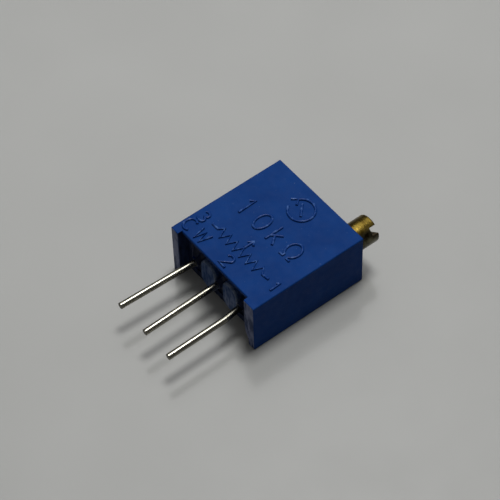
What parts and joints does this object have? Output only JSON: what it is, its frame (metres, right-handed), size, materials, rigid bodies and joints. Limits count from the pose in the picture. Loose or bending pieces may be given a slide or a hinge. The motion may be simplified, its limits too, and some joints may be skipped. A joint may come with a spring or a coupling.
{
  "type": "trimmer potentiometer",
  "caption": "Square multi-turn trimmer potentiometer: sealed moulded housing, slotted brass adjusting screw on a worm gear, and a row of wire terminals in line.",
  "frame": {"origin": "centre of the housing's back face, on which the part lies", "axes": "+Z out of the marked face, terminals towards -Y, adjusting screw towards +Y, terminal 1 on the +X side"},
  "size_m": [0.0096, 0.0178, 0.0048],
  "materials": {
    "blue_moulding": "fine matte moulded surface",
    "carrier_moulding": "fine matte moulded surface",
    "potting_epoxy": "smooth cast surface",
    "screw_brass": "turned brass",
    "seal_rubber": "smooth rubber",
    "spring_steel": "stamped sheet",
    "white_nylon": "moulded nylon",
    "contact_alloy": "stamped spring alloy",
    "white_ceramic": "fired alumina",
    "cermet_film": "printed and fired film",
    "conductor_film": "printed and fired silver",
    "tinned_wire": "bright tin plate",
    "solder": "bright solder"
  },
  "bodies": {
    "body": {"housing": "blue_moulding", "screw_retaining_fork": "spring_steel", "ceramic_substrate": "white_ceramic", "resistive_track": "cermet_film", "collector_ring": "conductor_film", "track_pad_1": "conductor_film", "track_pad_3": "conductor_film", "terminal_pin_1": "tinned_wire", "terminal_pin_2": "tinned_wire", "terminal_pin_3": "tinned_wire", "solder_joint_1": "solder", "solder_joint_2": "solder", "solder_joint_3": "solder", "terminal_carrier": "carrier_moulding", "epoxy_seal": "potting_epoxy"},
    "screw": {"adjusting_screw": "screw_brass", "o_ring_seal": "seal_rubber"},
    "rotor": {"worm_wheel": "white_nylon", "wiper_contact": "contact_alloy"}
  },
  "joints": [
    {"name": "screw_turn", "type": "hinge", "parent": "body", "child": "screw", "pos_m": [0.00349, 0, 0.00355], "axis": [0, 1, 0], "range_deg": [-4500, 4500]},
    {"name": "rotor_turn", "type": "hinge", "parent": "body", "child": "rotor", "pos_m": [-0.0003, 0, 0.00355], "axis": [0, 0, 1], "range_deg": [-150, 150]}
  ],
  "couplings": [
    {"joint": "rotor_turn", "follows": "screw_turn", "ratio": -0.033333}
  ]
}
